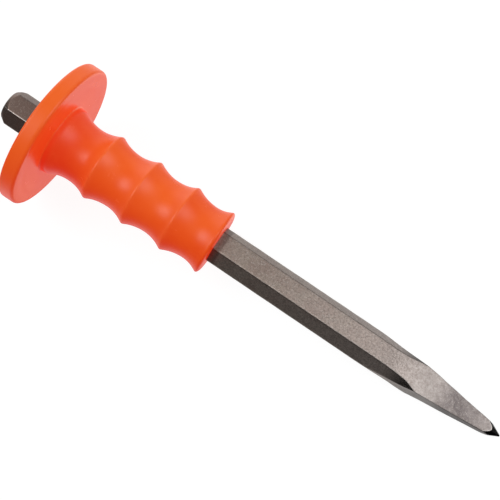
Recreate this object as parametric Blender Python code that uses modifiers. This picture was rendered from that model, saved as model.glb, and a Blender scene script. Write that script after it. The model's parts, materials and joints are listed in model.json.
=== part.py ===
"""Pointed cold chisel with a slip-on moulded hand guard, lying on a bench.

The tool is modelled standing on its striking face, with Z running along its own axis to the
point. A parent empty then lays it down on the guard's rim and its point. Metres, +Z up.
"""

import math

import bmesh
import bpy
from mathutils import Vector

MM = 0.001

# The steel bar, from the striking face at 0 to the point
BAR_LENGTH = 305 * MM
ACROSS_FLATS = 18 * MM
CORNER_RADIUS = 1.05 * MM
FACE_RADIUS = 8.2 * MM
FACE_EDGE_RADIUS = 1.2 * MM
CROWN_LENGTH = 4.4 * MM
CROWN_RADIUS = 10.5 * MM
CROWN_ANGLE = 33
TAPER_HEIGHT = 257 * MM
TAPER_HALF = 7.55 * MM
TAPER_SLOPE = 0.1055
TAPER_TURN = math.radians(3)
TIP_HALF_ANGLE = math.radians(25)
TIP_RADIUS = 0.5 * MM

# The guard: a thick round disc and, past a short collar, a sleeve with four finger grooves
DISC_BACK = 24.5 * MM
DISC_FRONT = 33.5 * MM
DISC_RADIUS = 41.4 * MM
DISC_BACK_ROUND = 1.6 * MM
DISC_FRONT_ROUND = 1.0 * MM
COLLAR_END = 37.0 * MM
COLLAR_RADIUS = 19.2 * MM
SLEEVE_END = 132.2 * MM
SLEEVE_END_RADIUS = 18.3 * MM
SLEEVE_END_ROUND = 1.8 * MM
FIRST_VALLEY = 49.3 * MM
VALLEY_RADIUS = 15.7 * MM
FIRST_RIDGE = 60.7 * MM
RIDGE_RADIUS = 18.95 * MM
GROOVE_PITCH = 23.95 * MM
GROOVES = 4
BORE_GAP = 0.3 * MM

TURNED_STEPS = 48
ARC_POINTS = 4
GROOVE_POINTS = 5
PAST_THE_END = 5 * MM
MERGE = 0.00001

ORANGE = (0.80, 0.13, 0.03, 1)
STEEL = (0.27, 0.23, 0.20, 1)


def clear_scene():
    for old in list(bpy.data.objects):
        bpy.data.objects.remove(old)


def new_collection(name):
    collection = bpy.data.collections.new(name)
    bpy.context.scene.collection.children.link(collection)
    return collection


def new_material(name, colour, roughness, metallic):
    material = bpy.data.materials.new(name)
    material.use_nodes = True
    shader = material.node_tree.nodes["Principled BSDF"]
    shader.inputs["Base Color"].default_value = colour
    shader.inputs["Roughness"].default_value = roughness
    shader.inputs["Metallic"].default_value = metallic
    return material


def new_object(name, mesh, collection, parent):
    thing = bpy.data.objects.new(name, mesh)
    collection.objects.link(thing)
    thing.parent = parent
    return thing


def mesh_from(name, bm):
    mesh = bpy.data.meshes.new(name)
    bm.to_mesh(mesh)
    bm.free()
    return mesh


def as_cutter(thing):
    thing.hide_render = True
    thing.display_type = "WIRE"


def arc(centre, radius, first, last, count):
    """Points (radius, height) on a circular arc, from angle first to last in degrees."""
    points = []
    for step in range(count):
        angle = math.radians(first + (last - first) * step / (count - 1))
        points.append((centre[0] + radius * math.cos(angle), centre[1] + radius * math.sin(angle)))
    return points


def turned(name, outline, collection, parent):
    """Solid of revolution about Z, from (radius, height) points that run from top to bottom."""
    bm = bmesh.new()
    verts = [bm.verts.new((radius, 0, height)) for radius, height in outline]
    for upper, lower in zip(verts, verts[1:]):
        bm.edges.new((upper, lower))
    thing = new_object(name, mesh_from(name, bm), collection, parent)
    screw = thing.modifiers.new("turn", "SCREW")
    screw.steps = TURNED_STEPS
    screw.render_steps = TURNED_STEPS
    screw.use_merge_vertices = True
    screw.merge_threshold = MERGE
    return thing


def frustum(name, sides, lower_half, upper_half, low, high, collection, parent):
    """Regular pyramid or prism along Z; the halves are measured to its flats."""
    to_corner = 1 / math.cos(math.pi / sides)
    bm = bmesh.new()
    bmesh.ops.create_cone(
        bm, cap_ends=True, segments=sides,
        radius1=lower_half * to_corner, radius2=upper_half * to_corner, depth=high - low,
    )
    thing = new_object(name, mesh_from(name, bm), collection, parent)
    thing.location = (0, 0, (low + high) / 2)
    return thing


def hexagon_stock(collection, parent):
    """Rolled hexagonal bar with rounded corners, longer than the tool at both ends."""
    half = ACROSS_FLATS / 2
    bar = frustum(
        "chisel_bar", 6, half, half, -PAST_THE_END, BAR_LENGTH + PAST_THE_END, collection, parent
    )
    bevel = bar.modifiers.new("rolled_corners", "BEVEL")
    bevel.width = CORNER_RADIUS * math.tan(math.radians(30))
    bevel.segments = 2
    bevel.limit_method = "ANGLE"
    return bar


def taper_half(height):
    return TAPER_HALF - TAPER_SLOPE * (height - TAPER_HEIGHT)


def four_faces(collection, parent):
    """Long pyramid whose four faces become the faces of the point."""
    low = -PAST_THE_END
    high = BAR_LENGTH + PAST_THE_END
    cutter = frustum(
        "four_faces", 4, taper_half(low), taper_half(high), low, high, collection, parent
    )
    cutter.rotation_euler = (0, 0, math.radians(45) + TAPER_TURN)
    as_cutter(cutter)
    return cutter


def ground_ends(collection, parent):
    """The turned shape that leaves the crowned head and the conical tip on the blank."""
    cone_length = (CROWN_RADIUS + PAST_THE_END - TIP_RADIUS) / math.tan(TIP_HALF_ANGLE)
    wide = CROWN_RADIUS + PAST_THE_END
    face_edge = arc(
        (FACE_RADIUS - FACE_EDGE_RADIUS, FACE_EDGE_RADIUS),
        FACE_EDGE_RADIUS, -CROWN_ANGLE, -90, ARC_POINTS,
    )
    outline = [(0, BAR_LENGTH), (TIP_RADIUS, BAR_LENGTH)]
    outline.append((wide, BAR_LENGTH - cone_length))
    outline.append((wide, CROWN_LENGTH + PAST_THE_END))
    outline.append((CROWN_RADIUS, CROWN_LENGTH))
    outline += face_edge
    outline.append((0, 0))
    cutter = turned("ground_ends", outline, collection, parent)
    as_cutter(cutter)
    return cutter


def cut(thing, cutter, operation):
    boolean = thing.modifiers.new(cutter.name, "BOOLEAN")
    boolean.operation = operation
    boolean.object = cutter


def half_groove(edge, valley, count):
    """Arc from a groove's edge to its lowest point, level at the lowest point."""
    run = valley[1] - edge[1]
    rise = edge[0] - valley[0]
    radius = (run * run + rise * rise) / (2 * rise)
    sweep = math.asin(abs(run) / radius)
    points = []
    for step in range(count):
        angle = sweep * (1 - step / count)
        away = math.copysign(radius * math.sin(angle), run)
        points.append((valley[0] + radius * (1 - math.cos(angle)), valley[1] - away))
    return points


def groove(upper_edge, valley, lower_edge):
    """A whole finger groove, from its edge nearer the point to its edge nearer the head."""
    falling = half_groove(upper_edge, valley, GROOVE_POINTS)
    rising = half_groove(lower_edge, valley, GROOVE_POINTS)
    return falling + [valley] + rising[:0:-1]


def guard_outline():
    """The guard's profile, from the sleeve's end face down to the disc's back face."""
    ridges = [(RIDGE_RADIUS, FIRST_RIDGE + GROOVE_PITCH * k) for k in range(GROOVES - 1)]
    valleys = [(VALLEY_RADIUS, FIRST_VALLEY + GROOVE_PITCH * k) for k in range(GROOVES)]
    collar = (COLLAR_RADIUS, COLLAR_END)
    end_corner = (SLEEVE_END_RADIUS - SLEEVE_END_ROUND, SLEEVE_END - SLEEVE_END_ROUND)
    lip = arc(end_corner, SLEEVE_END_ROUND, 90, 0, ARC_POINTS)
    edges = [collar] + ridges + [lip[-1]]
    outline = [(0, SLEEVE_END)] + lip[:-1]
    for k in reversed(range(GROOVES)):
        outline += groove(edges[k + 1], valleys[k], edges[k])
    outline += [collar, (COLLAR_RADIUS, DISC_FRONT)]
    front_corner = (DISC_RADIUS - DISC_FRONT_ROUND, DISC_FRONT - DISC_FRONT_ROUND)
    back_corner = (DISC_RADIUS - DISC_BACK_ROUND, DISC_BACK + DISC_BACK_ROUND)
    outline += arc(front_corner, DISC_FRONT_ROUND, 90, 0, ARC_POINTS)
    outline += arc(back_corner, DISC_BACK_ROUND, 0, -90, ARC_POINTS)
    outline.append((0, DISC_BACK))
    return outline


def make_guard(parts, cutters, parent):
    outline = [(radius, height - DISC_BACK) for radius, height in guard_outline()]
    guard = turned("hand_guard", outline, parts, parent)
    guard.location = (0, 0, DISC_BACK)
    guard.rotation_euler = (0, 0, math.pi / TURNED_STEPS)
    half_bore = ACROSS_FLATS / 2 + BORE_GAP
    bore = frustum(
        "hexagon_bore", 6, half_bore, half_bore,
        DISC_BACK - PAST_THE_END, SLEEVE_END + PAST_THE_END, cutters, parent,
    )
    as_cutter(bore)
    cut(guard, bore, "DIFFERENCE")
    return guard


def tip_shoulder():
    """Where the conical tip meets the middle of a taper face: (height, distance from the axis)."""
    cone_slope = math.tan(TIP_HALF_ANGLE)
    cone_at_zero = TIP_RADIUS + BAR_LENGTH * cone_slope
    height = (cone_at_zero - taper_half(0)) / (cone_slope - TAPER_SLOPE)
    return height, taper_half(height)


def rest_tilt():
    """How far the axis dips towards the point, with the disc's edge and the point on the bench."""
    shoulder_height, shoulder_half = tip_shoulder()
    flat_radius = DISC_RADIUS * math.cos(math.pi / TURNED_STEPS)
    run = shoulder_height - (DISC_FRONT - DISC_FRONT_ROUND)
    rise = flat_radius - DISC_FRONT_ROUND - shoulder_half
    return math.atan2(rise, run) + math.asin(DISC_FRONT_ROUND / math.hypot(run, rise))


def lowest_and_highest(things):
    """World corners of the finished solids together."""
    bpy.context.view_layer.update()
    graph = bpy.context.evaluated_depsgraph_get()
    points = []
    for thing in things:
        finished = thing.evaluated_get(graph)
        points += [finished.matrix_world @ vert.co for vert in finished.data.vertices]
    low = Vector([min(point[axis] for point in points) for axis in range(3)])
    high = Vector([max(point[axis] for point in points) for axis in range(3)])
    return low, high


def shade(thing, material, angle):
    thing.data.materials.append(material)
    thing.data.shade_smooth()
    thing.data.set_sharp_from_angle(angle=angle)


def main():
    clear_scene()
    parts = new_collection("cold_chisel")
    cutters = new_collection("cutters")
    rest = new_object("bench_rest", None, parts, None)
    rest.rotation_euler = (0, math.pi / 2 + rest_tilt(), 0)

    bar = hexagon_stock(parts, rest)
    cut(bar, four_faces(cutters, rest), "INTERSECT")
    cut(bar, ground_ends(cutters, rest), "INTERSECT")
    shade(bar, new_material("forged_steel", STEEL, 0.45, 1.0), math.radians(20))

    guard = make_guard(parts, cutters, rest)
    shade(guard, new_material("orange_moulding", ORANGE, 0.35, 0.0), math.radians(30))

    low, high = lowest_and_highest([bar, guard])
    rest.location = (-(low.x + high.x) / 2, -(low.y + high.y) / 2, -low.z)


main()
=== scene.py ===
"""Pointed cold chisel with an orange hand guard, lying on a pale bench.

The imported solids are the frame. Each of the two pieces is rebuilt here as a fine mesh in the
tool's own coordinates, in millimetres: x runs from the striking face to the point, and turn
angles are counted round that axis from the flat of the hexagon that faces up.
"""

import json
import math

import bmesh
import bpy
import numpy as np
from mathutils import Matrix, Vector


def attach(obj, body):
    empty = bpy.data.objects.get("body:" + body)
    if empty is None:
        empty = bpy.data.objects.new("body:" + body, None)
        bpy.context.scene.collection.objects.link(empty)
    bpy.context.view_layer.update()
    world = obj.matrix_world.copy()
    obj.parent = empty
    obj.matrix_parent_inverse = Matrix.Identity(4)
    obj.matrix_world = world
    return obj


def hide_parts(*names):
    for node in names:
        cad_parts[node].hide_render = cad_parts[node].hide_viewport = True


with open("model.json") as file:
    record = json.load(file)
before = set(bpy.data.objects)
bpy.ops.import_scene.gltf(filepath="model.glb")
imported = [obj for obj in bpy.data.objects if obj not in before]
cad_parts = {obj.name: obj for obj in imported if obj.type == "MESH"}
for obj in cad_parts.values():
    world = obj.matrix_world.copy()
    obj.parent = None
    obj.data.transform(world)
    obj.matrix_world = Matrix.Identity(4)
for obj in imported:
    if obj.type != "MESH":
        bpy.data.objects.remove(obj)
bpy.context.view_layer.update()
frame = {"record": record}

MM = 0.001

# The steel bar
LENGTH = 305.0
FLAT_HALF = 9.0
FACE_RADIUS = 7.0
FACE_ROUND = 1.2
FACE_WEAR = 0.4
FACE_LEAN = 0.02
FACE_DISH = 0.06
CROWN_ANGLE = math.radians(33)
TAPER_START = 257.0
TAPER_HALF = 7.55
TAPER_SLOPE = 0.1055
TAPER_TURN = math.radians(-3.1)
TIP_HALF_ANGLE = math.radians(26.5)
TIP_ROUND = 0.5

# Stretches of the bar, from the striking face, over which its shape or its finish changes
FACES_TURN = (238.0, 262.0)
FACES_UNEVEN = (240, 262)
EDGES_CRISPEN = (238.0, 260.0)
EDGES_SOFTEN = (262.0, 294.0)
SMOKE_STARTS = (150, 225)
BLACK_STARTS = (236, 252)
GRINDING_STARTS = (222, 262)
FAR_CORNERS_END = (240, 262)
NEAR_CORNERS_END = (260, 272)
SCALE_IN_CORNERS = (262, 276)
RIM_START = 280

# The guard
DISC_BACK = 24.5
DISC_FRONT = 33.5
DISC_RADIUS = 41.4
DISC_BACK_ROUND = 1.6
DISC_FRONT_ROUND = 1.8
COLLAR_END = 37.0
COLLAR_RADIUS = 19.2
FILLET = 0.9
SLEEVE_END = 132.2
LIP_START = 130.4
LIP_RADIUS = 18.3
LIP_DEPTH = 4.2
FIRST_VALLEY = 49.3
VALLEY_RADIUS = 15.7
FIRST_RIDGE = 60.7
RIDGE_RADIUS = 19.05
GROOVE_PITCH = 23.95
GROOVES = 4
END_SLANT = 0.05
SLANT_LENGTH = 7.0
SLANT_TURN = math.radians(-14.62)
DISC_LEAN = 0.012
BORE_HALF = 9.25
BORE_LIP = 0.5
END_FACE_INNER = 13.0

# The camera, placed against the tool
LENS = 94.2
SENSOR = 36.0
DISTANCE = 672.2
IMAGE_ANGLE = math.radians(33.94)
POINT_NEARER = math.radians(5.01)
CAMERA_TURN = math.radians(-14.62)
AIM_AT = 150.6
AIM_RIGHT = -1.66
AIM_DOWN = 7.29


def tool_axes():
    """Matrix from tool coordinates in millimetres to the frame."""
    face = next(m for m in frame["record"]["mounts"] if m["name"] == "striking_face")
    along = -Vector(face["axis"]).normalized()
    side = Vector((0, 1, 0))
    up = along.cross(side)
    axes = Matrix((along, side, up)).transposed().to_4x4() @ Matrix.Scale(MM, 4)
    axes.translation = Vector(face["pos_m"])
    return axes


TOOL = tool_axes()


def tool_direction(turn, towards_point=0.0):
    """Unit vector in the frame, at a turn round the axis and leaning towards the point."""
    rotation = TOOL.to_3x3().normalized()
    square = Vector((0, math.sin(turn), math.cos(turn)))
    leaning = square * math.cos(towards_point) + Vector((math.sin(towards_point), 0, 0))
    return (rotation @ leaning).normalized()


# ---------------------------------------------------------------- mesh helpers


def smooth_step(value, low, high):
    share = np.clip((value - low) / (high - low), 0, 1)
    return share * share * (3 - 2 * share)


def ripple(x, turn, seed, waves, size):
    """Gentle unevenness: a fixed sum of sine waves along and round the axis."""
    random = np.random.default_rng(seed)
    total = np.zeros(np.broadcast(x, turn).shape)
    for _ in range(waves):
        rate = random.uniform(0.02, 0.11)
        lobes = random.integers(0, 5)
        shift = random.uniform(0, 2 * np.pi, 2)
        total += np.sin(rate * x * 2 * np.pi + shift[0]) * np.cos(lobes * turn + shift[1])
    return size * total / math.sqrt(waves)


def skin(name, points, closed_ends, marks):
    """Mesh over a grid of points [ring, step]; marks are named values per point."""
    rings, steps = points.shape[:2]
    coords = points.reshape(-1, 3)
    index = np.arange(rings * steps).reshape(rings, steps)
    after = np.roll(index, -1, axis=1)
    faces = []
    last = rings - 1 if closed_ends else rings
    for ring in range(last):
        following = (ring + 1) % rings
        quads = np.stack(
            [index[ring], after[ring], after[following], index[following]], axis=1
        )
        faces.extend(quads.tolist())
    values = {key: value.reshape(-1) for key, value in marks.items()}
    if closed_ends:
        centres = np.array([points[0].mean(axis=0), points[-1].mean(axis=0)])
        first_centre = len(coords)
        coords = np.vstack([coords, centres])
        faces.extend([[b, a, first_centre] for a, b in zip(index[0], after[0])])
        faces.extend([[a, b, first_centre + 1] for a, b in zip(index[-1], after[-1])])
        for key, value in values.items():
            ends = [marks[key][0].mean(), marks[key][-1].mean()]
            values[key] = np.concatenate([value, ends])
    rotation = np.array(TOOL.to_3x3())
    placed = coords @ rotation.T + np.array(TOOL.translation)
    mesh = bpy.data.meshes.new(name)
    mesh.from_pydata(placed.tolist(), [], faces)
    mesh.update()
    tool_place = mesh.attributes.new("tool_place", "FLOAT_VECTOR", "POINT")
    tool_place.data.foreach_set("vector", coords.astype(np.float32).reshape(-1))
    for key, value in values.items():
        layer = mesh.attributes.new(key, "FLOAT", "POINT")
        layer.data.foreach_set("value", value.astype(np.float32))
    mesh.shade_smooth()
    piece = bpy.data.objects.new(name, mesh)
    bpy.context.scene.collection.objects.link(piece)
    return piece


def round_the_axis(x, radius, turn, sideways=0.0):
    """Points at radius and turn about the axis, moved sideways across it."""
    x = np.broadcast_to(x, radius.shape)
    y = radius * np.sin(turn) + sideways
    z = radius * np.cos(turn)
    return np.stack([x, y, z], axis=-1)


def arc(centre, radius, first, last, count):
    """Points (x, radius) on an arc, angles in degrees from the direction of the point."""
    angle = np.radians(np.linspace(first, last, count))
    return np.stack([centre[0] + radius * np.cos(angle), centre[1] + radius * np.sin(angle)], 1)


def line(start, end, count):
    share = np.linspace(0, 1, count)[:, None]
    return np.array(start) * (1 - share) + np.array(end) * share


# ---------------------------------------------------------------- the steel bar

BAR_STEPS = 300
SHARPNESS = 45
FINE_SHARPNESS = 150
TIP_SHARPNESS = 22
FORGE_BLEND = 0.5

# Flats beside the point, counted round from the top one, with how far the forging squeezed
# each outwards, where along the bar that starts and ends, and how black its scale is there
FORGED_FLATS = (
    (1, 1.65, 239, 265, 1.0), (2, 1.8, 238, 257, 0.6),
    (4, 1.8, 238, 257, 0.6), (5, 1.65, 249, 260, 1.0),
)


def soft_least(sizes, sharpness):
    """Smooth minimum of positive sizes; a higher sharpness leaves a crisper edge."""
    return sum(size ** -sharpness for size in sizes) ** (-1 / sharpness)


def soft_step_down(size, limit, blend):
    """The smaller of size and limit, passing from one to the other in a gentle curve."""
    near = np.clip(0.5 + 0.5 * (limit - size) / blend, 0, 1)
    return limit + (size - limit) * near - blend * near * (1 - near)


def flat_face(half, turn, normal):
    """Distance from the axis to a flat whose normal points at an angle; far where it faces away."""
    facing = np.maximum(np.cos(turn - normal), 0.05)
    return half / facing


def head_and_tip(x):
    """Radius of the turned surfaces: rounded striking face, conical crown, conical tip."""
    into_round = np.clip(FACE_ROUND - x, 0, FACE_ROUND)
    rounding = FACE_RADIUS + np.sqrt(FACE_ROUND**2 - into_round**2)
    crown_start = FACE_ROUND * (1 - math.sin(CROWN_ANGLE))
    crown_radius = FACE_RADIUS + FACE_ROUND * math.cos(CROWN_ANGLE)
    crown = crown_radius + (x - crown_start) * math.tan(CROWN_ANGLE)
    head = np.where(x < crown_start, rounding, crown)
    slope = math.tan(TIP_HALF_ANGLE)
    from_tip = LENGTH - x
    ball_depth = TIP_ROUND * (1 - math.sin(TIP_HALF_ANGLE))
    ball_radius = TIP_ROUND * math.cos(TIP_HALF_ANGLE)
    ball = np.sqrt(np.maximum(TIP_ROUND**2 - (TIP_ROUND - np.minimum(from_tip, TIP_ROUND)) ** 2, 0))
    cone = ball_radius + (from_tip - ball_depth) * slope
    tip = np.where(from_tip < ball_depth, ball, cone)
    return head, np.maximum(tip, 0.02)


def bar_stations():
    """Places along the bar, closer together where its shape changes."""
    stretches = [
        (0.0, 6.0, 0.15), (6.0, 232.0, 2.0), (232.0, 262.0, 0.4),
        (262.0, 294.0, 0.8), (294.0, 304.2, 0.12), (304.2, LENGTH - 0.005, 0.05),
    ]
    return np.concatenate([np.arange(low, high, step) for low, high, step in stretches])


def bar_faces(x, turn):
    """The flats that end in the forging, and the four faces that run out into the point."""
    taper = TAPER_HALF - TAPER_SLOPE * (x - TAPER_START)
    hexagon = []
    for side, bulge, first, last, _ in FORGED_FLATS:
        squeezed = bulge * smooth_step(x, first, last)
        uneven = ripple(x, 0 * turn, seed=20 + side, waves=4, size=0.025)
        hexagon.append(flat_face(FLAT_HALF + squeezed + uneven, turn, math.radians(60 * side)))
    faces = []
    turned = TAPER_TURN * smooth_step(x, *FACES_TURN)
    for side in range(4):
        hammered = ripple(x, 0 * turn, seed=40 + side, waves=5, size=0.06)
        half = taper + hammered * smooth_step(x, *FACES_UNEVEN)
        if side % 2 == 0:
            half = soft_step_down(half, FLAT_HALF, FORGE_BLEND)
        faces.append(flat_face(half, turn, turned + math.radians(90 * side)))
    return hexagon, faces


def bar_marks(x, turn, hexagon, faces, past_cone):
    """Where each finish, painted highlight and painted shade lies; past_cone is how far the forging
    stands outside the tip's cone.
    """
    nearest_flat = np.min(np.stack(hexagon), axis=0)
    nearest_face = np.min(np.stack(faces), axis=0)
    off_flats = smooth_step(nearest_flat - nearest_face, -0.05, 0.05)
    on_cone = smooth_step(past_cone, -0.04, 0.04)
    radii = np.sort(np.stack(hexagon + faces), axis=0)
    from_corner = radii[1] - radii[0]
    edge = (1 - smooth_step(from_corner, 0.05, 0.45)) * (1 - on_cone)
    far_side = (np.sin(turn) > 0) * (1 - smooth_step(x, *FAR_CORNERS_END))
    near_side = (np.sin(turn) < 0) * (1 - smooth_step(x, *NEAR_CORNERS_END))
    old_scale = (1 - smooth_step(from_corner, 0.8, 2.0)) * smooth_step(x, *SCALE_IN_CORNERS)
    blackness = np.array([forged_flat[-1] for forged_flat in FORGED_FLATS])
    blackness = blackness[np.argmin(np.stack(hexagon), axis=0)]
    blackened = 0.15 * smooth_step(x, *SMOKE_STARTS) + 0.85 * smooth_step(x, *BLACK_STARTS)
    return {
        "ground": off_flats * smooth_step(x, *GRINDING_STARTS) * (1 - on_cone),
        "cone": on_cone,
        "rim": np.exp(-(((past_cone + 0.12) / 0.10) ** 2)) * (x > RIM_START),
        # Near-side corners: partly wear, partly a painted highlight
        "wear_and_highlight": edge * near_side,
        # Far-side corners: painted shade; by the point, scale left in the corners
        "corner_shade_and_scale": edge * far_side + 0.5 * old_scale * (1 - on_cone),
        "black": blackness * blackened * (1 - off_flats),
    }


def make_bar():
    x = bar_stations()[:, None]
    turn = np.linspace(0, 2 * np.pi, BAR_STEPS, endpoint=False)[None, :]

    hexagon, faces = bar_faces(x, turn)
    sharpness = SHARPNESS + (FINE_SHARPNESS - SHARPNESS) * smooth_step(x, *EDGES_CRISPEN)
    sharpness = sharpness + (TIP_SHARPNESS - FINE_SHARPNESS) * smooth_step(x, *EDGES_SOFTEN)
    forged = soft_least(hexagon + faces, sharpness)
    head, tip = head_and_tip(x)
    radius = soft_least([forged, head + 0 * turn, tip + 0 * turn], FINE_SHARPNESS)
    uneven = ripple(x, turn, seed=7, waves=12, size=0.02)
    radius = radius + uneven * smooth_step(radius, 2.0, 6.0)

    # The hand-forged point lies a little to one side of the axis
    sideways = -0.25 * smooth_step(x, 225.0, 250.0) - 0.45 * smooth_step(x, 256.0, 288.0)
    points = round_the_axis(x, radius, turn, sideways)

    marks = bar_marks(x, turn, hexagon, faces, forged - tip)

    # The striking face, closed by rings that shrink to its centre
    shares = np.linspace(0.04, 0.97, 26)[:, None]
    face_radius = radius[0][None, :] * shares
    dents = ripple(face_radius * 6, turn, seed=3, waves=10, size=0.05)
    face_x = FACE_DISH * (1 - shares) + dents * (1 - shares)
    face = round_the_axis(face_x + 0 * turn, face_radius, turn)
    points = np.concatenate([face, points])

    # Hammering has worn the face low, more on the far side
    beaten = 1 - smooth_step(points[..., 0], 1.0, 9.0)
    points[..., 0] += beaten * (FACE_WEAR + FACE_LEAN * points[..., 1])
    for key in marks:
        filled = np.zeros(face_radius.shape)
        marks[key] = np.concatenate([filled, np.broadcast_to(marks[key], radius.shape)])
    return skin("steel_bar", points, True, marks)


# ---------------------------------------------------------------- the hand guard

GUARD_STEPS = 240
PROFILE_STEP = 0.4
CREST_ROUND = 0.45
COLLAR_ROUND = 1.0


def groove_radius(x):
    """Radius of the sleeve: hollows between crests, each the arc through its edges and valley."""
    ridges = [FIRST_RIDGE + GROOVE_PITCH * k for k in range(GROOVES - 1)]
    edges = [(COLLAR_END, COLLAR_RADIUS)] + [(r, RIDGE_RADIUS) for r in ridges]
    edges.append((LIP_START, LIP_RADIUS))
    radius = np.where(x < COLLAR_END, COLLAR_RADIUS, LIP_RADIUS)
    for k in range(GROOVES):
        valley = FIRST_VALLEY + GROOVE_PITCH * k
        for edge_x, edge_radius in (edges[k], edges[k + 1]):
            run = edge_x - valley
            rise = edge_radius - VALLEY_RADIUS
            bend = (run * run + rise * rise) / (2 * rise)
            inside = (x - valley) * np.sign(run) >= 0
            inside &= (x - edge_x) * np.sign(run) <= 1e-9
            depth = bend - np.sqrt(np.maximum(bend**2 - (x - valley) ** 2, 0))
            radius = np.where(inside, VALLEY_RADIUS + depth, radius)
    return radius


def rounded(values, spread, step):
    """Values along a line with their corners rounded over the spread."""
    reach = int(math.ceil(3 * spread / step))
    offsets = np.arange(-reach, reach + 1) * step
    weights = np.exp(-0.5 * (offsets / spread) ** 2)
    padded = np.pad(values, reach, mode="reflect", reflect_type="odd")
    return np.convolve(padded, weights / weights.sum(), mode="valid")


def guard_outline():
    """Outer profile (x, radius) from the sleeve's end face to the disc's back face."""
    front_corner = (DISC_FRONT - DISC_FRONT_ROUND, DISC_RADIUS - DISC_FRONT_ROUND)
    back_corner = (DISC_BACK + DISC_BACK_ROUND, DISC_RADIUS - DISC_BACK_ROUND)
    count = int((SLEEVE_END - DISC_FRONT) / PROFILE_STEP)
    sleeve_x = np.linspace(SLEEVE_END, DISC_FRONT, count)
    crisp = rounded(groove_radius(sleeve_x), CREST_ROUND, PROFILE_STEP)
    soft = rounded(groove_radius(sleeve_x), COLLAR_ROUND, PROFILE_STEP)
    past_collar = smooth_step(sleeve_x, COLLAR_END + 3, COLLAR_END + 8)
    sleeve_radius = soft + (crisp - soft) * past_collar
    inner = (sleeve_x < LIP_START) & (sleeve_x > DISC_FRONT + FILLET)
    sleeve = np.stack([sleeve_x[inner], sleeve_radius[inner]], 1)
    lip = arc((0, 0), 1, 0, 90, 12) * (SLEEVE_END - LIP_START, LIP_DEPTH)
    lip = lip + (LIP_START, sleeve_radius[inner][0] - LIP_DEPTH)
    fillet_radius = sleeve_radius[inner][-1] + FILLET
    return np.concatenate([
        line((SLEEVE_END, END_FACE_INNER), lip[0], 8)[:-1],
        lip[:-1],
        sleeve,
        arc((DISC_FRONT + FILLET, fillet_radius), FILLET, 270, 180, 8)[1:],
        line((DISC_FRONT, fillet_radius), (DISC_FRONT, front_corner[1]), 40)[1:],
        arc(front_corner, DISC_FRONT_ROUND, 0, 90, 9)[1:],
        line((front_corner[0], DISC_RADIUS), (back_corner[0], DISC_RADIUS), 12)[1:-1],
        arc(back_corner, DISC_BACK_ROUND, 90, 180, 9),
        line((DISC_BACK, back_corner[1]), (DISC_BACK, END_FACE_INNER), 40)[1:],
    ])


def make_guard():
    outline = guard_outline()
    turn = np.linspace(0, 2 * np.pi, GUARD_STEPS, endpoint=False)[None, :]
    x = outline[:, 0][:, None] + 0 * turn
    radius = outline[:, 1][:, None] + 0 * turn
    on_sleeve = smooth_step(x, DISC_FRONT + 2, DISC_FRONT + 6) * smooth_step(radius, 14, 15)
    radius = radius + ripple(x, turn, seed=11, waves=14, size=0.06) * on_sleeve
    on_disc = (1 - smooth_step(x, DISC_FRONT, DISC_FRONT + 1)) * smooth_step(radius, 20, 40)
    x = x + ripple(radius * 1.5, turn, seed=12, waves=10, size=0.10) * on_disc

    bore_x = np.concatenate([
        DISC_BACK + np.linspace(0, BORE_LIP, 5),
        np.linspace(DISC_BACK, SLEEVE_END, 60)[1:-1],
        SLEEVE_END - np.linspace(BORE_LIP, 0, 5),
    ])[:, None] + 0 * turn
    flats = [flat_face(BORE_HALF, turn, math.radians(60 * side)) for side in range(6)]
    hexagon = soft_least(flats, FINE_SHARPNESS)
    from_mouth = np.minimum(bore_x - DISC_BACK, SLEEVE_END - bore_x)
    into_lip = np.clip(BORE_LIP - from_mouth, 0, BORE_LIP)
    lip = BORE_LIP - np.sqrt(np.maximum(BORE_LIP**2 - into_lip**2, 0))
    bore_radius = hexagon + lip
    points = np.concatenate([
        round_the_axis(x, radius, turn),
        round_the_axis(bore_x, bore_radius, turn),
    ])
    # The soft disc leans a little, and the sleeve's end was cut out of square
    flange = smooth_step(np.hypot(points[..., 1], points[..., 2]), 18.0, 30.0)
    points[..., 0] += DISC_LEAN * flange * points[..., 1]
    slant = smooth_step(points[..., 0], SLEEVE_END - SLANT_LENGTH, SLEEVE_END)
    leaning = math.cos(SLANT_TURN) * points[..., 2] + math.sin(SLANT_TURN) * points[..., 1]
    points[..., 0] += END_SLANT * slant * leaning

    # Band on each crest, a little towards the head: partly rubbed paler, partly a painted highlight
    crest = np.zeros(x.shape)
    for k in range(GROOVES - 1):
        ridge = FIRST_RIDGE + GROOVE_PITCH * k
        crest = np.maximum(crest, np.exp(-(((x - ridge + 0.6) / 2.0) ** 2)) * (radius > 14))
    marks = {
        "crest": np.concatenate([crest, 0 * bore_x]),
        # Where the painted shade inside the bore goes
        "bore": np.concatenate([0 * x, smooth_step(from_mouth, 0.0, BORE_LIP)]),
    }
    return skin("grip_guard", points, False, marks)


# ---------------------------------------------------------------- materials


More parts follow.
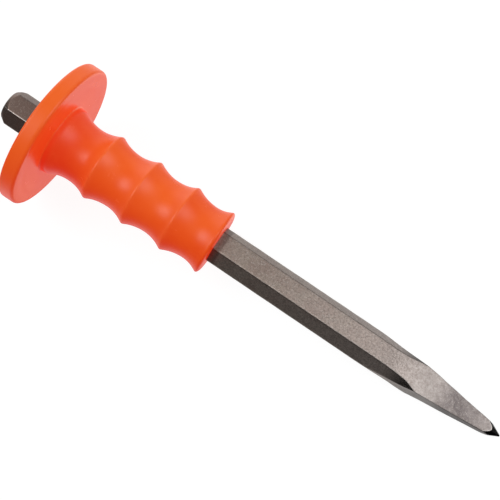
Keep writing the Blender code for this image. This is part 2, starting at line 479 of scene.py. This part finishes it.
class Shader:
    """A material under construction, with short names for the nodes it uses."""

    def __init__(self, name):
        self.material = bpy.data.materials.new(name)
        self.material.use_nodes = True
        self.tree = self.material.node_tree
        self.surface = self.tree.nodes["Principled BSDF"]
        tool_place = self.tree.nodes.new("ShaderNodeAttribute")
        tool_place.attribute_name = "tool_place"
        self.place = tool_place.outputs["Vector"]

    def link(self, source, socket):
        self.tree.links.new(source, socket)

    def mark(self, name):
        node = self.tree.nodes.new("ShaderNodeAttribute")
        node.attribute_name = name
        return node.outputs["Fac"]

    def noise(self, scale, detail, roughness, distortion=0.0):
        node = self.tree.nodes.new("ShaderNodeTexNoise")
        node.inputs["Scale"].default_value = scale
        node.inputs["Detail"].default_value = detail
        node.inputs["Roughness"].default_value = roughness
        node.inputs["Distortion"].default_value = distortion
        self.link(self.place, node.inputs["Vector"])
        return node.outputs["Fac"]

    def ramp(self, source, low, high, out_low=0.0, out_high=1.0):
        node = self.tree.nodes.new("ShaderNodeMapRange")
        node.inputs["From Min"].default_value = low
        node.inputs["From Max"].default_value = high
        node.inputs["To Min"].default_value = out_low
        node.inputs["To Max"].default_value = out_high
        self.link(source, node.inputs["Value"])
        return node.outputs["Result"]

    def maths(self, operation, first, second):
        node = self.tree.nodes.new("ShaderNodeMath")
        node.operation = operation
        for socket, value in zip(node.inputs, (first, second)):
            if isinstance(value, (int, float)):
                socket.default_value = value
            else:
                self.link(value, socket)
        return node.outputs["Value"]

    def times(self, first, second):
        return self.maths("MULTIPLY", first, second)

    def blend(self, share, first, second):
        node = self.tree.nodes.new("ShaderNodeMix")
        node.data_type = "RGBA"
        self.link(share, node.inputs["Factor"])
        for name, value in (("A", first), ("B", second)):
            socket = next(s for s in node.inputs if s.name == name and s.type == "RGBA")
            if isinstance(value, tuple):
                socket.default_value = (*value, 1)
            else:
                self.link(value, socket)
        return next(s for s in node.outputs if s.type == "RGBA")

    def along(self):
        node = self.tree.nodes.new("ShaderNodeSeparateXYZ")
        self.link(self.place, node.inputs["Vector"])
        return node.outputs["X"]

    def bump(self, height, strength, distance):
        node = self.tree.nodes.new("ShaderNodeBump")
        node.inputs["Strength"].default_value = strength
        node.inputs["Distance"].default_value = distance
        self.link(height, node.inputs["Height"])
        self.link(node.outputs["Normal"], self.surface.inputs["Normal"])


# Stretches of the bar over which its colour or its grain changes
HEAD_TONE_ENDS = (30, 120)
SCALE_PALES = (160, 238)
HEAT_STARTS = (264, 275)
HEAT_ENDS = (286, 293)
HEAD_GRAIN_ENDS = (20, 110)
PITS_THIN = (244, 262)
GLINTS_THIN = (240, 256)
# Where the painted shadow of the sleeve's end lies on the bar
SLEEVE_SHADOW_STARTS = (128, 129)
SLEEVE_SHADOW_ENDS = (136, 137)
# Stretches where the near-side corners are brightened: partly wear, partly a painted highlight
HEAD_BRIGHT_EDGE_ENDS = (25, 60)
POINT_BRIGHT_EDGE_STARTS = (150, 235)

HEAD_SCALE = (0.235, 0.165, 0.137)
BROWN_SCALE = (0.372, 0.280, 0.240)
GREY_SCALE = (0.430, 0.355, 0.300)
PALE_SCALE = (0.550, 0.460, 0.420)
BLACK_SCALE = (0.032, 0.026, 0.023)
BARE_STEEL = (0.420, 0.378, 0.358)
DULL_STEEL = (0.350, 0.308, 0.290)
HEAT_TINT = (0.150, 0.130, 0.130)
# Colour of the painted shade on the far-side corners and of scale left in the corners
CORNER_SHADE_AND_SCALE = (0.200, 0.175, 0.165)
PIT = (0.200, 0.165, 0.145)
GLINT = (0.720, 0.660, 0.620)
# Colour of the painted shadow just past the sleeve's end
SLEEVE_SHADOW = (0.100, 0.070, 0.060)
# Colour of the near-side corners: partly wear, partly a painted highlight
WORN_EDGE_AND_HIGHLIGHT = (0.800, 0.730, 0.690)
TIP_RIM = (0.550, 0.520, 0.500)
TIP_BLACK = (0.014, 0.013, 0.013)


def forged_skin(steel, along):
    """Mottled scale, darkest at the head and palest by the point."""
    clouds = steel.noise(scale=0.09, detail=4, roughness=0.60, distortion=0.6)
    tone = steel.blend(steel.ramp(clouds, 0.35, 0.65), BROWN_SCALE, GREY_SCALE)
    tone = steel.blend(steel.ramp(along, *HEAD_TONE_ENDS, 1.0, 0.0), tone, HEAD_SCALE)
    tone = steel.blend(steel.ramp(along, *SCALE_PALES), tone, PALE_SCALE)
    return steel.blend(steel.mark("black"), tone, BLACK_SCALE)


def ground_faces(steel, along):
    """Bare, cloudy steel, with a band across it that heat has darkened."""
    clouds = steel.noise(scale=0.24, detail=4, roughness=0.55, distortion=1.0)
    mottling = steel.ramp(clouds, 0.36, 0.64)
    cooler_tip = steel.ramp(along, *HEAT_ENDS, 1.0, 0.60)
    band = steel.times(steel.ramp(along, *HEAT_STARTS), cooler_tip)
    heat = steel.times(band, steel.ramp(mottling, 0.0, 1.0, 0.60, 1.0))
    return steel.blend(heat, steel.blend(mottling, BARE_STEEL, DULL_STEEL), HEAT_TINT)


def steel_material():
    """Satin forged steel, ground bare on the point, with a black tip."""
    steel = Shader("forged_steel")
    along = steel.along()
    tone = steel.blend(steel.mark("ground"), forged_skin(steel, along), ground_faces(steel, along))
    # Painted shade along the far-side corners, and scale left in the corners by the point
    tone = steel.blend(steel.mark("corner_shade_and_scale"), tone, CORNER_SHADE_AND_SCALE)

    # Pits and glints of the forge scale, fainter on the head and on the ground point
    grain = steel.noise(scale=0.9, detail=5, roughness=0.70)
    specks = steel.noise(scale=1.6, detail=3, roughness=0.70)
    scaly = steel.ramp(along, *HEAD_GRAIN_ENDS, 0.45, 1.0)
    pitted = steel.times(scaly, steel.ramp(along, *PITS_THIN, 1.0, 0.55))
    glinting = steel.times(scaly, steel.ramp(along, *GLINTS_THIN, 1.0, 0.40))
    tone = steel.blend(steel.times(steel.ramp(grain, 0.44, 0.60, 0.0, 0.60), pitted), tone, PIT)
    glints = steel.times(steel.ramp(specks, 0.54, 0.68, 0.0, 0.65), glinting)
    tone = steel.blend(glints, tone, GLINT)

    # Painted shadow: a dark band cast by the sleeve's end across the bar
    sleeve_shadow_stops = steel.ramp(along, *SLEEVE_SHADOW_ENDS, 1.0, 0.0)
    sleeve_shadow = steel.times(steel.ramp(along, *SLEEVE_SHADOW_STARTS), sleeve_shadow_stops)
    tone = steel.blend(steel.times(sleeve_shadow, 0.55), tone, SLEEVE_SHADOW)

    # Near-side corners brighter, most of all on the head: partly rubbed wear, partly a painted
    # highlight
    bright_edge_share = steel.ramp(along, *HEAD_BRIGHT_EDGE_ENDS, 1.0, 0.25)
    bright_edge_share_by_point = steel.ramp(along, *POINT_BRIGHT_EDGE_STARTS, 0.25, 0.65)
    bright_edge_share = steel.maths("MAXIMUM", bright_edge_share, bright_edge_share_by_point)
    wear_and_highlight = steel.times(steel.mark("wear_and_highlight"), steel.ramp(grain, 0.3, 0.6, 0.5, 1.0))
    wear_and_highlight = steel.times(wear_and_highlight, bright_edge_share)
    tone = steel.blend(wear_and_highlight, tone, WORN_EDGE_AND_HIGHLIGHT)
    tone = steel.blend(steel.times(steel.mark("rim"), 0.6), tone, TIP_RIM)
    tone = steel.blend(steel.mark("cone"), tone, TIP_BLACK)
    steel.link(tone, steel.surface.inputs["Base Color"])

    rough = steel.ramp(grain, 0.3, 0.7, 0.34, 0.46)
    rough = steel.maths("SUBTRACT", rough, steel.times(wear_and_highlight, 0.08))
    steel.link(rough, steel.surface.inputs["Roughness"])
    steel.surface.inputs["Metallic"].default_value = 1.0
    height = steel.maths("ADD", grain, steel.times(specks, 0.5))
    steel.bump(steel.times(height, glinting), strength=0.60, distance=0.18 * MM)
    return steel.material


# Stretches of the guard over which its colour changes
DISC_TONE_ENDS = (33.4, 34.4)
# Where the painted shade and reflected red behind the disc fade out
DISC_SHADE_ENDS = (42, 60)

ORANGE = (0.31, 0.098, 0.012)
PALE_ORANGE = (0.35, 0.123, 0.016)
# Colour of the painted shade and reflected red behind the disc
DISC_SHADE_RED = (0.35, 0.060, 0.026)
DISC_ORANGE = (0.34, 0.135, 0.018)
# Crest colour: partly wear, partly a painted highlight
CREST_WEAR_AND_HIGHLIGHT = (0.38, 0.160, 0.040)
# Colour of the painted shade inside the bore
BORE_PAINTED_SHADE = (0.10, 0.010, 0.004)
SCUFF = (0.37, 0.150, 0.030)
# Colour of the painted red glow
PAINTED_RED_GLOW = (1.0, 0.015, 0.005, 1)


def plastic_material():
    """Soft orange PVC, semi-gloss, and paler on its crests: partly rubbed, partly a painted
    highlight.

    Its red emission makes it glow though it is no lamp: painted light that keeps the red strong on
    its shaded sides.
    """
    plastic = Shader("orange_pvc")
    along = plastic.along()
    clouds = plastic.noise(scale=0.035, detail=3, roughness=0.5)
    scuffs = plastic.noise(scale=0.12, detail=5, roughness=0.6)
    tone = plastic.blend(plastic.ramp(clouds, 0.35, 0.65), ORANGE, PALE_ORANGE)
    # Painted shade and painted reflection: deeper red on the sleeve just behind the disc
    tone = plastic.blend(plastic.ramp(along, *DISC_SHADE_ENDS, 0.40, 0.0), tone, DISC_SHADE_RED)
    tone = plastic.blend(plastic.ramp(along, *DISC_TONE_ENDS, 1.0, 0.0), tone, DISC_ORANGE)
    # Paler crests: partly wear, partly a painted highlight on the side towards the head
    tone = plastic.blend(plastic.times(plastic.mark("crest"), 0.4), tone, CREST_WEAR_AND_HIGHLIGHT)
    # Painted shade: the inside of the bore darkened
    tone = plastic.blend(plastic.mark("bore"), tone, BORE_PAINTED_SHADE)
    tone = plastic.blend(plastic.ramp(scuffs, 0.50, 0.72, 0.0, 0.30), tone, SCUFF)
    plastic.link(tone, plastic.surface.inputs["Base Color"])
    plastic.link(plastic.ramp(scuffs, 0.3, 0.7, 0.22, 0.28), plastic.surface.inputs["Roughness"])
    plastic.surface.inputs["Specular IOR Level"].default_value = 0.25
    # Painted light: a red glow, though the plastic is no lamp
    plastic.surface.inputs["Emission Color"].default_value = PAINTED_RED_GLOW
    plastic.surface.inputs["Emission Strength"].default_value = 0.55
    skin_grain = plastic.noise(scale=0.25, detail=2, roughness=0.4)
    plastic.bump(skin_grain, strength=0.05, distance=0.2 * MM)
    return plastic.material


# ---------------------------------------------------------------- stage


FLOOR_RADIUS = 1.6
COVE_RADIUS = 0.8
WALL_TOP = 2.6
COVE_STEPS = 12
FLOOR_STEPS = 64


def make_floor():
    """Pale sweep: a wide round floor that curves up into a wall all round."""
    outline = [(0.0, 0.0), (FLOOR_RADIUS, 0.0)]
    for step in range(1, COVE_STEPS + 1):
        angle = math.radians(90 * step / COVE_STEPS)
        out = FLOOR_RADIUS + COVE_RADIUS * math.sin(angle)
        outline.append((out, COVE_RADIUS * (1 - math.cos(angle))))
    outline.append((FLOOR_RADIUS + COVE_RADIUS, WALL_TOP))
    bm = bmesh.new()
    verts = [bm.verts.new((radius, 0, height)) for radius, height in outline]
    edges = [bm.edges.new(pair) for pair in zip(verts, verts[1:])]
    bmesh.ops.spin(
        bm, geom=verts + edges, axis=(0, 0, 1), cent=(0, 0, 0), angle=2 * math.pi,
        steps=FLOOR_STEPS, use_merge=True,
    )
    bmesh.ops.remove_doubles(bm, verts=bm.verts, dist=0.0001)
    mesh = bpy.data.meshes.new("floor")
    bm.to_mesh(mesh)
    bm.free()
    mesh.shade_smooth()
    floor = bpy.data.objects.new("floor", mesh)
    bpy.context.scene.collection.objects.link(floor)
    paper = bpy.data.materials.new("pale_paper")
    paper.use_nodes = True
    surface = paper.node_tree.nodes["Principled BSDF"]
    surface.inputs["Base Color"].default_value = (0.12, 0.12, 0.12, 1)
    surface.inputs["Roughness"].default_value = 1.0
    surface.inputs["Specular IOR Level"].default_value = 0.0
    surface.inputs["Emission Color"].default_value = (1, 1, 1, 1)
    surface.inputs["Emission Strength"].default_value = 0.93
    mesh.materials.append(paper)
    floor.visible_diffuse = False
    floor.visible_glossy = False
    floor.visible_transmission = False
    floor.visible_shadow = False


def softbox(tree, direction, turn, lean, spread, strength):
    """Distant soft light.

    In degrees: its turn round the tool from the camera's side, its lean towards the point and
    its spread.
    """
    towards = tool_direction(CAMERA_TURN + math.radians(turn), math.radians(lean))
    dot = tree.nodes.new("ShaderNodeVectorMath")
    dot.operation = "DOT_PRODUCT"
    dot.inputs[1].default_value = towards
    tree.links.new(direction, dot.inputs[0])
    fall = tree.nodes.new("ShaderNodeMath")
    fall.operation = "MULTIPLY_ADD"
    sharpness = 1 / math.radians(spread) ** 2
    fall.inputs[1].default_value = sharpness
    fall.inputs[2].default_value = -sharpness
    tree.links.new(dot.outputs["Value"], fall.inputs[0])
    glow = tree.nodes.new("ShaderNodeMath")
    glow.operation = "EXPONENT"
    tree.links.new(fall.outputs["Value"], glow.inputs[0])
    scaled = tree.nodes.new("ShaderNodeMath")
    scaled.operation = "MULTIPLY"
    scaled.inputs[1].default_value = strength
    tree.links.new(glow.outputs["Value"], scaled.inputs[0])
    return scaled.outputs["Value"]


def make_studio():
    """Large soft lights that hang all round the tool, far away."""
    world = bpy.data.worlds.new("studio")
    bpy.context.scene.world = world
    world.use_nodes = True
    tree = world.node_tree
    direction = tree.nodes.new("ShaderNodeTexCoord").outputs["Generated"]
    head_side = softbox(tree, direction, turn=-6, lean=-36, spread=12, strength=5.8)
    key = softbox(tree, direction, turn=33, lean=34, spread=14, strength=3.8)
    overhead = softbox(tree, direction, turn=5, lean=9, spread=18, strength=0.4)
    wall = softbox(tree, direction, turn=94, lean=5, spread=20, strength=0.5)
    far_corner = softbox(tree, direction, turn=86, lean=-43, spread=18, strength=1.55)
    bounce_by_disc = softbox(tree, direction, turn=158, lean=38, spread=18, strength=2.1)
    bounce_near = softbox(tree, direction, turn=-134, lean=-8, spread=20, strength=0.85)
    bounce_far = softbox(tree, direction, turn=150, lean=-33, spread=25, strength=0.9)
    total = head_side
    for light in (key, overhead, wall, far_corner, bounce_by_disc, bounce_near, bounce_far):
        add = tree.nodes.new("ShaderNodeMath")
        tree.links.new(total, add.inputs[0])
        tree.links.new(light, add.inputs[1])
        total = add.outputs["Value"]
    background = tree.nodes["Background"]
    background.inputs["Color"].default_value = (1, 1, 1, 1)
    tree.links.new(total, background.inputs["Strength"])


def make_camera():
    """Camera whose picture has the tool's axis running down to the right, point nearer."""
    along_seen = Vector((
        math.cos(POINT_NEARER) * math.cos(IMAGE_ANGLE),
        math.cos(POINT_NEARER) * math.sin(IMAGE_ANGLE),
        -math.sin(POINT_NEARER),
    ))
    away = Vector((0, 0, 1))
    near_seen = -(away - away.dot(along_seen) * along_seen).normalized()
    across_seen = near_seen.cross(along_seen)
    seen = Matrix((near_seen, across_seen, along_seen)).transposed()
    near = tool_direction(CAMERA_TURN)
    along = tool_direction(0, math.pi / 2)
    across = near.cross(along)
    held = Matrix((near, across, along)).transposed()
    to_frame = held @ seen.inverted()
    right, down, forward = to_frame.col
    target = TOOL @ Vector((AIM_AT, 0, 0))
    data = bpy.data.cameras.new("camera")
    data.lens = LENS
    data.sensor_width = SENSOR
    data.clip_start = 0.01
    camera = bpy.data.objects.new("camera", data)
    bpy.context.scene.collection.objects.link(camera)
    pose = Matrix((right, -down, -forward)).transposed().to_4x4()
    offset = right * AIM_RIGHT + down * AIM_DOWN + forward * DISTANCE
    pose.translation = target - offset * MM
    camera.matrix_world = pose
    bpy.context.scene.camera = camera


def main():
    bar = make_bar()
    bar.data.materials.append(steel_material())
    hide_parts("chisel_bar")
    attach(bar, "bar")

    guard = make_guard()
    guard.data.materials.append(plastic_material())
    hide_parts("hand_guard")
    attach(guard, "guard")

    make_floor()
    make_studio()
    make_camera()
    bpy.context.scene.view_settings.view_transform = "Standard"


main()
